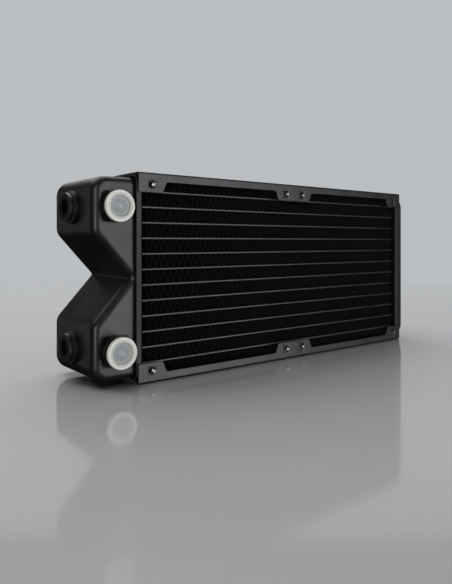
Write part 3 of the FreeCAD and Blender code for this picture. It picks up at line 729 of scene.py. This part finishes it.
class RADIATOR_OT_trays(bpy.types.Operator):
    """Press the two trays that close the core, with a slot for each tube"""
    bl_idname = "radiator.trays"
    bl_label = "Header trays"

    def execute(self, context):
        sheet = settings("sheet")
        tubes = nodes_named("flat_tube_")
        for name in ("port_header", "return_header"):
            low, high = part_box(name)
            corner = sheet.tray_corner
            bm = bmesh.new()
            rim = draw(bm, [(low.y, low.z, corner), (high.y, low.z, corner),
                            (high.y, high.z, corner), (low.y, high.z, corner)], steps=7)
            tilt(bm, 90, "Z")
            outward = -1 if low.x < 0 else 1
            plate_x, lip_x = (high.x, low.x) if outward < 0 else (low.x, high.x)
            shift(bm, (plate_x, 0, 0))
            plate = fill(bm, rim)
            pull(bm, [plate], (lip_x - plate_x, 0, 0))
            face_out(bm)
            mouth = next(f for f in bm.faces if lies_at(f, "x", lip_x))
            bmesh.ops.delete(bm, geom=[mouth], context="FACES_ONLY")
            bend = [e for e in bm.edges if lies_at(e, "x", plate_x)]
            round_off(bm, bend, sheet.tray_bend, 6)
            open_slots(bm, largest(bm.faces), plate_x, tubes)
            bmesh.ops.recalc_face_normals(bm, faces=bm.faces[:])
            flat = largest(f for f in bm.faces if abs(f.normal.x) > 0.9)
            if flat.normal.x * outward > 0:
                bmesh.ops.reverse_faces(bm, faces=bm.faces[:])
            show(bm, f"{name}_pressed", "tank_paint", nodes=[name],
                 finish=["tray_paint"], wall=(sheet.tray_sheet, -1), edge=(0.12 * MM, 2))
        return {"FINISHED"}


def tank_block(bm, corners, mouth_x):
    """A rounded shell, drawn from the side and open at its mouth."""
    edges = draw(bm, corners, steps=14)
    shift(bm, (0, TANK_FRONT, 0))
    front = fill(bm, edges)
    pull(bm, [front], (0, -2 * TANK_FRONT, 0))
    face_out(bm)
    mouth = next(f for f in bm.faces if lies_at(f, "x", mouth_x))
    bmesh.ops.delete(bm, geom=[mouth], context="FACES_ONLY")
    rims = [e for e in bm.edges if len(e.link_faces) == 2
            and (lies_at(e, "y", TANK_FRONT) or lies_at(e, "y", -TANK_FRONT))]
    round_off(bm, rims, settings("sheet").tank_edge, 12)


class RADIATOR_OT_tanks(bpy.types.Operator):
    """Form the notched port tank and the shallow return tank"""
    bl_idname = "radiator.tanks"
    bl_label = "Tanks"

    def execute(self, context):
        sheet, p = settings("sheet"), settings("ports")
        bottom = TOP - TANK_TOP
        shoulder = sheet.shoulder
        valley = TANK_MOUTH - sheet.notch_floor
        bm = bmesh.new()
        tank_block(bm, [
            (TANK_MOUTH, bottom), (TANK_MOUTH, TANK_TOP),
            (TANK_END, TANK_TOP, sheet.tank_corner),
            (TANK_END, MIDDLE + shoulder, sheet.shoulder_corner),
            (valley, MIDDLE, 1.0 * MM),
            (TANK_END, MIDDLE - shoulder, sheet.shoulder_corner),
            (TANK_END, bottom, sheet.tank_corner)], TANK_MOUTH)
        for level in LEVELS:
            z = port_level(level)
            end = Vector((TANK_END, 0, z))
            front = Vector((TANK_END + p.port_inset, TANK_FRONT, z))
            wall = largest(f for f in bm.faces if f.normal.x < -FLUSH
                           and min(v.co.z for v in f.verts) < z < max(v.co.z for v in f.verts))
            punch(bm, wall, end, p.seat, 1.5 * MM, "X")
            face = largest(f for f in bm.faces if f.normal.y < -FLUSH and holds(f, front))
            punch(bm, face, front, p.seat, 0.7 * MM, "Y")
        show(bm, "port_tank_formed", "tank_paint", nodes=["port_tank"],
             wall=(sheet.tank_wall, -1), sharp=50)

        low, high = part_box("return_tank")
        bm = bmesh.new()
        tank_block(bm, [(low.x, TANK_TOP), (low.x, bottom),
                        (high.x, bottom, sheet.return_corner),
                        (high.x, TANK_TOP, sheet.return_corner)], low.x)
        show(bm, "return_tank_formed", "tank_paint", nodes=["return_tank"],
             wall=(sheet.tank_wall, -1), sharp=50)
        return {"FINISHED"}


# Ports ---------------------------------------------------------------------------------
# Each piece is turned along +Z, with its tank's surface at z = 0, and then set in place.

def set_in_place(bm, place, level):
    """Turns a piece to its port in the front or the end, and moves it there."""
    if place == "front":
        tilt(bm, 90, "X")
        shift(bm, (TANK_END + settings("ports").port_inset, TANK_FRONT, port_level(level)))
    else:
        tilt(bm, -90, "Y")
        shift(bm, (TANK_END, 0, port_level(level)))


class RADIATOR_OT_collars(bpy.types.Operator):
    """Turn the threaded collars of the four ports"""
    bl_idname = "radiator.collars"
    bl_label = "Collars"

    def execute(self, context):
        p = settings("ports")
        mouth = p.port_bore + 0.5 * MM
        crest = p.port_bore - p.thread_depth
        for level in LEVELS:
            for place, top, rim in (("front", p.front_stand, p.front_collar),
                                    ("end", p.end_stand, p.end_collar)):
                bm = bmesh.new()
                thread = groove(crest, -p.thread_depth, -p.collar_depth + 0.5 * MM,
                                top - 1.0 * MM, p.thread_pitch, 0)
                draw(bm, [
                    (p.port_bore, -p.collar_depth), (p.seat, -p.collar_depth, 0.3 * MM),
                    (p.seat, -settings("sheet").tank_wall), (p.seat, 0), (rim, 0),
                    (rim, top, 0.45 * MM), (mouth, top, 0.15 * MM),
                    (p.port_bore, top - 0.5 * MM), (crest, top - 0.9 * MM)]
                    + thread[::-1] + [(crest, -p.collar_depth + 0.6 * MM)], steps=4)
                turn_round(bm, 80)
                set_in_place(bm, place, level)
                show(bm, f"{level}_{place}_collar_turned", "collar_paint",
                     nodes=[f"{level}_{place}_collar"], sharp=35)
        return {"FINISHED"}


class RADIATOR_OT_rings(bpy.types.Operator):
    """Mould the rubber sealing rings under the stop plugs"""
    bl_idname = "radiator.rings"
    bl_label = "Sealing rings"

    def execute(self, context):
        p = settings("ports")
        for level in LEVELS:
            bm = bmesh.new()
            low, high = p.end_stand, p.end_stand + p.ring_height
            bore, corner = p.port_bore + 0.09 * MM, 0.45 * MM
            draw(bm, [(bore, low, 0.2 * MM), (p.ring, low, corner), (p.ring, high, corner),
                      (bore, high, 0.2 * MM)], steps=6)
            turn_round(bm, 80)
            set_in_place(bm, "end", level)
            show(bm, f"{level}_sealing_ring_moulded", "seal_rubber",
                 body=f"{level}_ring_carrier", nodes=[f"{level}_sealing_ring"], sharp=60)
        return {"FINISHED"}


class RADIATOR_OT_stop_plugs(bpy.types.Operator):
    """Turn the stop plugs, cut their threads and broach their hexagon sockets"""
    bl_idname = "radiator.stop_plugs"
    bl_label = "Stop plugs"

    def execute(self, context):
        p = settings("ports")
        seat = p.end_stand + p.ring_height
        top = seat + p.head_height
        depth = 8.0 * MM                      # shank below the collar's rim
        foot = p.end_stand - depth
        shank = p.port_bore - 0.06 * MM
        core = shank - p.thread_depth
        flat_rim = 6.0 * MM                   # inner radius of the turned head
        chamfer = 0.3 * MM                    # round the hexagon's mouth
        mouth_flats = p.flats / 2 + chamfer
        narrow = p.flats / 2 / mouth_flats
        for level in LEVELS:
            bm = bmesh.new()
            thread = groove(shank, p.thread_depth, foot + 0.5 * MM, seat - 1.2 * MM,
                            p.thread_pitch, -0.5 * p.thread_pitch)
            draw(bm, [(0, foot), (core, foot), (shank, foot + 0.5 * MM)] + thread
                 + [(shank, seat - 1.1 * MM), (core, seat - 0.8 * MM), (core, seat),
                    (p.head, seat, 0.15 * MM), (p.head, top, 0.5 * MM), (flat_rim, top)],
                 closed=False, steps=5)
            turn_round(bm, 96)
            rim = [e for e in bm.edges if e.is_boundary]
            hexagon = bmesh.ops.create_circle(bm, cap_ends=False, segments=96,
                                              radius=mouth_flats)["verts"]
            for vertex in hexagon:
                angle = math.degrees(math.atan2(vertex.co.y, vertex.co.x))
                vertex.co /= math.cos(math.radians((angle + 30) % 60 - 30))
            shift(bm, (0, 0, top), hexagon)
            sides = list({e for v in hexagon for e in v.link_edges})
            bmesh.ops.bridge_loops(bm, edges=rim + sides)
            slope = pull(bm, sides, (0, 0, -chamfer))
            ring = only(slope, BMVert)
            bmesh.ops.scale(bm, verts=ring, vec=(narrow, narrow, 1))
            inner = [e for e in only(slope, BMEdge) if all(v in ring for v in e.verts)]
            walls = pull(bm, inner, (0, 0, chamfer - p.socket))
            base = fill(bm, only(walls, BMEdge))
            bmesh.ops.inset_region(bm, faces=[base], thickness=1.6 * MM, use_even_offset=True)
            shift(bm, (0, 0, -0.8 * MM), list(base.verts))
            face_out(bm)
            set_in_place(bm, "end", level)
            show(bm, f"{level}_stop_plug_turned", "plug_black",
                 body=f"{level}_stop_plug_body", nodes=[f"{level}_stop_plug"],
                 finish=[f"plug_black_{level}"], sharp=35)
        return {"FINISHED"}


class RADIATOR_OT_dust_plugs(bpy.types.Operator):
    """Mould the push-in dust plugs of the front ports"""
    bl_idname = "radiator.dust_plugs"
    bl_label = "Dust plugs"

    def execute(self, context):
        p = settings("ports")
        web = 1.2 * MM                        # plastic between the dish and the hollow
        shank = p.port_bore - p.thread_depth - 0.05 * MM
        for level in LEVELS:
            node = f"{level}_dust_plug"
            top = TANK_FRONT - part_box(node)[0].y
            seat, dish = top - p.cap_rim, top - p.dish_depth
            foot, roof = seat - p.cap_shank, dish - web
            pip = dish + 0.28 * MM
            bm = bmesh.new()
            draw(bm, [
                (0, pip), (0.75 * MM, pip, 0.2 * MM), (1.0 * MM, dish, 0.2 * MM),
                (p.dish, dish, 0.7 * MM), (p.dish + 0.8 * MM, top, 0.35 * MM),
                (p.cap, top, 0.7 * MM), (p.cap, seat, 0.5 * MM), (shank, seat, 0.2 * MM),
                (shank, foot + 3 * MM), (shank - 0.3 * MM, foot, 0.3 * MM),
                (shank - 1.1 * MM, foot, 0.3 * MM), (shank - 0.9 * MM, roof, 0.5 * MM),
                (0, roof)], closed=False, steps=6)
            turn_round(bm, 96)
            set_in_place(bm, "front", level)
            show(bm, f"{node}_moulded", "cap_plastic", body=f"{level}_dust_plug_body",
                 nodes=[node], finish=[f"cap_plastic_{level}"], sharp=60)
        return {"FINISHED"}


# Studio --------------------------------------------------------------------------------

def softbox(name, place, target, width, height, radiance, tint):
    """An area light of a given brightness that looks at a point."""
    light = bpy.data.lights.new(name, "AREA")
    light.shape, light.size, light.size_y = "RECTANGLE", width, height
    light.energy = radiance * math.pi * width * height
    light.color = tint
    lamp = bpy.data.objects.new(name, light)
    lamp.location = place
    lamp.visible_camera = False
    lamp.rotation_euler = (Vector(target) - Vector(place)).to_track_quat("-Z", "Y").to_euler()
    bpy.context.scene.collection.objects.link(lamp)
    return lamp


def stage_mesh(bm, name, tree_maker):
    """Makes a finished piece of the studio of a mesh."""
    mesh = bpy.data.meshes.new(name)
    bm.to_mesh(mesh)
    bm.free()
    item = bpy.data.objects.new(name, mesh)
    bpy.context.scene.collection.objects.link(item)
    material = bpy.data.materials.new(name)
    material.use_nodes = True
    tree_maker(material.node_tree)
    mesh.materials.append(material)
    return item


def floor_nodes(tree):
    """A pale satin floor that loses its gloss and fades into the backdrop with distance."""
    look = settings("studio")
    shader = tree.nodes["Principled BSDF"]
    shader.inputs["Base Color"].default_value = (*look.floor, 1)
    shader.inputs["Roughness"].default_value = 0.09
    place = tree.nodes.new("ShaderNodeTexCoord").outputs["Object"]
    reach = tree.nodes.new("ShaderNodeVectorMath")
    reach.operation = "LENGTH"
    tree.links.new(place, reach.inputs[0])
    spreads = []
    for numbers in ((0.28, 0.9, 0, 1), (0.3, 0.7, 0.7, 0)):
        node = tree.nodes.new("ShaderNodeMapRange")
        node.interpolation_type = "SMOOTHSTEP"
        for socket, value in zip(("From Min", "From Max", "To Min", "To Max"), numbers):
            node.inputs[socket].default_value = value
        tree.links.new(reach.outputs["Value"], node.inputs["Value"])
        spreads.append(node.outputs["Result"])
    fade, gloss = spreads
    tree.links.new(gloss, shader.inputs["Specular IOR Level"])
    clear = tree.nodes.new("ShaderNodeBsdfTransparent")
    mix = tree.nodes.new("ShaderNodeMixShader")
    tree.links.new(fade, mix.inputs[0])
    tree.links.new(shader.outputs[0], mix.inputs[1])
    tree.links.new(clear.outputs[0], mix.inputs[2])
    tree.links.new(mix.outputs[0], tree.nodes["Material Output"].inputs["Surface"])


def wall_nodes(tree):
    """An even glow, whatever the lights do."""
    tree.nodes.clear()
    glow = tree.nodes.new("ShaderNodeEmission")
    glow.inputs["Color"].default_value = (*settings("studio").backdrop, 1)
    output = tree.nodes.new("ShaderNodeOutputMaterial")
    tree.links.new(glow.outputs[0], output.inputs["Surface"])


class RADIATOR_OT_stage(bpy.types.Operator):
    """Set up the camera, the pale floor and backdrop, and the softboxes"""
    bl_idname = "radiator.stage"
    bl_label = "Studio"

    def execute(self, context):
        scene, look = context.scene, settings("studio")
        camera = bpy.data.objects.new("Camera", bpy.data.cameras.new("Camera"))
        turn = math.radians(CAMERA_TURN)
        camera.location = CAMERA_PLACE
        camera.rotation_euler = (math.radians(90), 0, turn)
        camera.data.lens = CAMERA_LENS
        camera.data.sensor_width = 36
        camera.data.shift_y = CAMERA_SHIFT
        scene.collection.objects.link(camera)
        scene.camera = camera
        scene.view_settings.view_transform = "Standard"

        bm = bmesh.new()
        bmesh.ops.create_circle(bm, cap_ends=True, radius=3.0, segments=96)
        floor = stage_mesh(bm, "floor", floor_nodes)
        floor.location.z = -0.0002
        floor.visible_glossy = floor.visible_shadow = False

        bm = bmesh.new()
        bmesh.ops.create_grid(bm, x_segments=1, y_segments=1, size=1)
        bmesh.ops.scale(bm, verts=bm.verts[:], vec=(1.6, 1.0, 1))
        tilt(bm, 90, "X")
        tilt(bm, CAMERA_TURN, "Z")
        ahead = Vector((-math.sin(turn), math.cos(turn), 0))
        shift(bm, ahead * 2.8 + Vector((0, 0, 0.6)))
        stage_mesh(bm, "backdrop", wall_nodes)

        world = bpy.data.worlds.new("Studio")
        scene.world = world
        world.use_nodes = True
        tree = world.node_tree
        tree.nodes.clear()
        pale, dim = (tree.nodes.new("ShaderNodeBackground") for _ in range(2))
        pale.inputs["Color"].default_value = (*look.backdrop, 1)
        dim.inputs["Color"].default_value = (look.surround,) * 3 + (1,)
        rays = tree.nodes.new("ShaderNodeLightPath")
        mix = tree.nodes.new("ShaderNodeMixShader")
        output = tree.nodes.new("ShaderNodeOutputWorld")
        tree.links.new(rays.outputs["Is Camera Ray"], mix.inputs[0])
        tree.links.new(dim.outputs[0], mix.inputs[1])
        tree.links.new(pale.outputs[0], mix.inputs[2])
        tree.links.new(mix.outputs[0], output.inputs["Surface"])

        on_floor, off_floor = (bpy.data.collections.new(name) for name in
                               ("On the floor only", "Kept off the floor"))
        for group in (on_floor, off_floor):
            group.objects.link(floor)
        off_floor.collection_objects[0].light_linking.link_state = "EXCLUDE"
        wash = softbox("Floor wash", (0, 0, 2.6), (0, 0, 0), 5.5, 5.5, look.wash, (1, 1, 1))
        wash.light_linking.receiver_collection = on_floor
        wash.visible_glossy = False
        tank = (-0.13, 0, 0.06)
        softbox("Overhead softbox", (-0.1, 0.5, 1.25), (0, 0.05, 0.05), 1.7, 1.3,
                look.overhead, (1.0, 0.99, 0.97))
        for lamp in (
                softbox("Key softbox", (0.62, -1.36, 0.12), (-0.08, 0, 0.06), 1.0, 1.9,
                        look.key, (0.93, 0.97, 1.0)),
                softbox("Left fill", (-0.9, 0.95, 0.1), tank, 0.9, 0.9, look.fill,
                        (1.0, 0.96, 0.9)),
                softbox("Edge strip", (-0.98, -0.9, 0.15), (-0.15, 0, 0.06), 0.2, 1.1,
                        look.strip, (1.0, 0.97, 0.92)),
                softbox("Slant softbox", (-0.3, 1.17, 0.98), tank, 0.35, 0.35, look.rear,
                        (1.0, 1.0, 0.98)),
                softbox("Rear softbox", (0.43, 1.58, 1.0), tank, 0.9, 0.55, look.rear,
                        (1.0, 1.0, 0.97))):
            lamp.light_linking.receiver_collection = off_floor
        return {"FINISHED"}


# Panel and registration ----------------------------------------------------------------

STEPS = (RADIATOR_OT_finishes, RADIATOR_OT_rails, RADIATOR_OT_nuts, RADIATOR_OT_fins,
         RADIATOR_OT_trays, RADIATOR_OT_tanks, RADIATOR_OT_collars, RADIATOR_OT_rings,
         RADIATOR_OT_stop_plugs, RADIATOR_OT_dust_plugs, RADIATOR_OT_stage)
GROUPS = {"sheet": SheetSizes, "core": CoreSizes, "ports": PortSizes,
          "finish": FinishSettings, "studio": StudioSettings}


class RADIATOR_PT_sidebar(bpy.types.Panel):
    """Lists the steps and their settings"""
    bl_idname = "RADIATOR_PT_sidebar"
    bl_label = "Liquid cooling radiator"
    bl_space_type = "VIEW_3D"
    bl_region_type = "UI"
    bl_category = "Radiator"

    def draw(self, context):
        for step in STEPS:
            self.layout.operator(step.bl_idname)
        for name in GROUPS:
            group = settings(name)
            box = self.layout.box()
            for item in group.bl_rna.properties.keys():
                if item not in {"rna_type", "name"}:
                    box.prop(group, item)


def register():
    """Adds the settings, the steps and the panel."""
    for name, group in GROUPS.items():
        bpy.utils.register_class(group)
        setattr(bpy.types.Scene, f"radiator_{name}", bpy.props.PointerProperty(type=group))
    for item in (*STEPS, RADIATOR_PT_sidebar):
        bpy.utils.register_class(item)


def unregister():
    """Takes them out again."""
    for item in (RADIATOR_PT_sidebar, *reversed(STEPS)):
        bpy.utils.unregister_class(item)
    for name, group in GROUPS.items():
        delattr(bpy.types.Scene, f"radiator_{name}")
        bpy.utils.unregister_class(group)


def main():
    """Runs every step in order."""
    register()
    for step in STEPS:
        category, name = step.bl_idname.split(".")
        getattr(getattr(bpy.ops, category), name)()


if __name__ == "__main__":
    main()
